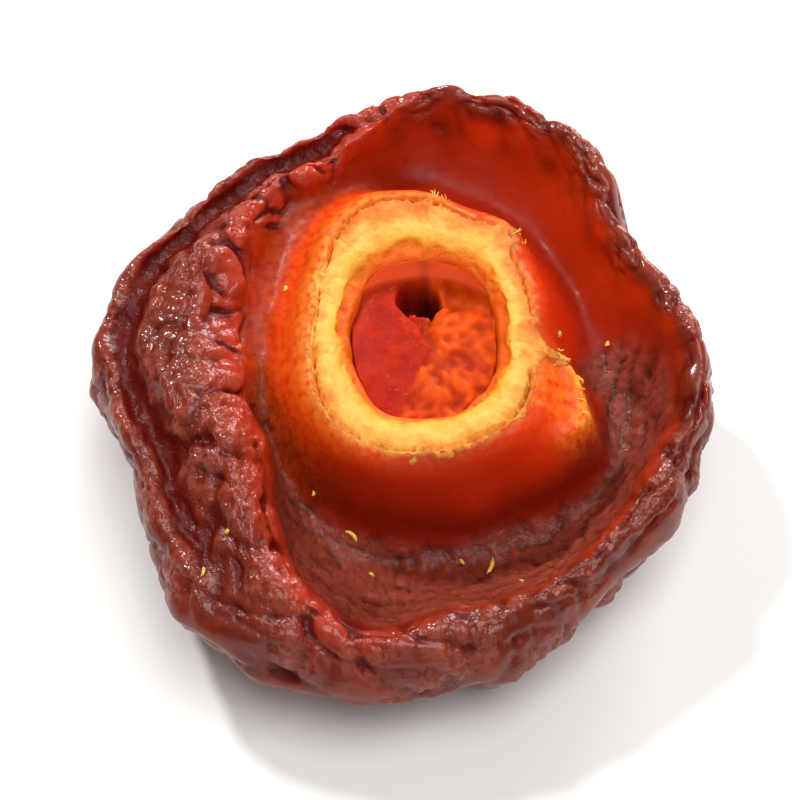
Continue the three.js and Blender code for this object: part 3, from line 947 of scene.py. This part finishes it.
bm = bmesh.new()
for right, behind, length, thick in CRUMBS:
    spot = Vector((stone_axis[0] + right, stone_axis[1] + behind, HIGH))
    landed = on_flesh(*spot.xy)
    ball = bmesh.ops.create_icosphere(bm, subdivisions=3, radius=0.5)["verts"]
    turned = Matrix.Rotation(rng.uniform(0, math.pi), 3, "Z")
    for vertex in ball:
        x, y, z = vertex.co * (1 + 0.5 * noise.noise(vertex.co * 3 + spot))
        bent = Vector((x * length, y * thick + 0.4 * x * x * length, (z + 0.3) * thick))
        vertex.co = (landed + turned @ bent) * MM
crumbs = in_scene("stone_crumbs", mesh_from(bm, "stone_crumbs"))
print(len(CRUMBS), "crumbs with", len(crumbs.data.polygons), "faces")

# %% Stone fibre material
fibre_material, tree = new_material("syrup-soaked stone fibre")
shader = add(
    tree,
    "BsdfPrincipled",
    {
        "Base Color": colour("#fbb648"),
        "Roughness": 0.35,
        "Subsurface Weight": 0.7,
        "Subsurface Radius": (1.0, 0.5, 0.15),
        "Subsurface Scale": 0.5 * MM,
    },
)
put_on(fibre_material, shader, fibres, crumbs)
for piece in (fibres, crumbs):
    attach(piece, "root")

# %% [markdown]
# ## Studio
#
# Candied fruit looks dull under even light. So beside the white floor and a large soft light
# overhead there is a small one that puts glints on the ridges, one from behind that shines through
# the thin wall, and a weak one that fills the shadows in front.

# %% Floor
bm = bmesh.new()
bmesh.ops.create_grid(bm, x_segments=1, y_segments=1, size=0.6)
floor = in_scene("studio_floor", mesh_from(bm, "studio_floor"))
floor_material, tree = new_material("white studio paper")
shader = add(tree, "BsdfPrincipled", {"Base Color": colour("#f4f2ef"), "Roughness": 0.8})
put_on(floor_material, shader, floor)

# %% Lights
LIGHTS = {  # place in metres, size in metres, power in watts
    "overhead": ((0.14, -0.08, 0.7), 0.5, 3.8),
    "glints": ((-0.25, 0.3, 0.45), 0.06, 2.0),
    "behind": ((0.12, 0.26, 0.1), 0.12, 0.62),
    "front fill": ((0.08, -0.5, 0.28), 0.4, 0.5),
}
ROOM_LIGHT = 0.12  # strength of the white room around the fruit


def point_at(turning, aim):
    """Turns a light or a camera to its aim."""
    turning.rotation_euler = (aim - turning.location).to_track_quat("-Z", "Y").to_euler()


for name, (place, size, power) in LIGHTS.items():
    light = bpy.data.lights.new(name, "AREA")
    light.size = size
    light.energy = power
    lamp = in_scene(name, light)
    lamp.location = place
    point_at(lamp, Vector((0, 0, 0.006)))
world = bpy.data.worlds.new("soft room")
bpy.context.scene.world = world
world.use_nodes = True
background = world.node_tree.nodes["Background"].inputs
background["Color"].default_value = colour("#ffffff")
background["Strength"].default_value = ROOM_LIGHT
print(len(LIGHTS), "lights with", round(sum(power for _, _, power in LIGHTS.values()), 2), "watts")

# %% Camera
ELEVATION, DISTANCE = math.radians(60), 0.205
LENS, SENSOR = 150, 36  # both in millimetres

lens = bpy.data.cameras.new("camera")
lens.lens = LENS
lens.sensor_width = SENSOR
camera = in_scene("camera", lens)
aim = Vector((0, 0, 0.0055))
camera.location = aim + DISTANCE * Vector((0, -math.cos(ELEVATION), math.sin(ELEVATION)))
point_at(camera, aim)
bpy.context.scene.camera = camera
bpy.context.scene.view_settings.view_transform = "Standard"
print("the view is", round(DISTANCE * SENSOR / LENS / MM, 1), "mm wide at the fruit")

# %% Smooth shading
for piece in (flesh, stone, kernel, fibres, crumbs):
    for face in piece.data.polygons:
        face.use_smooth = True
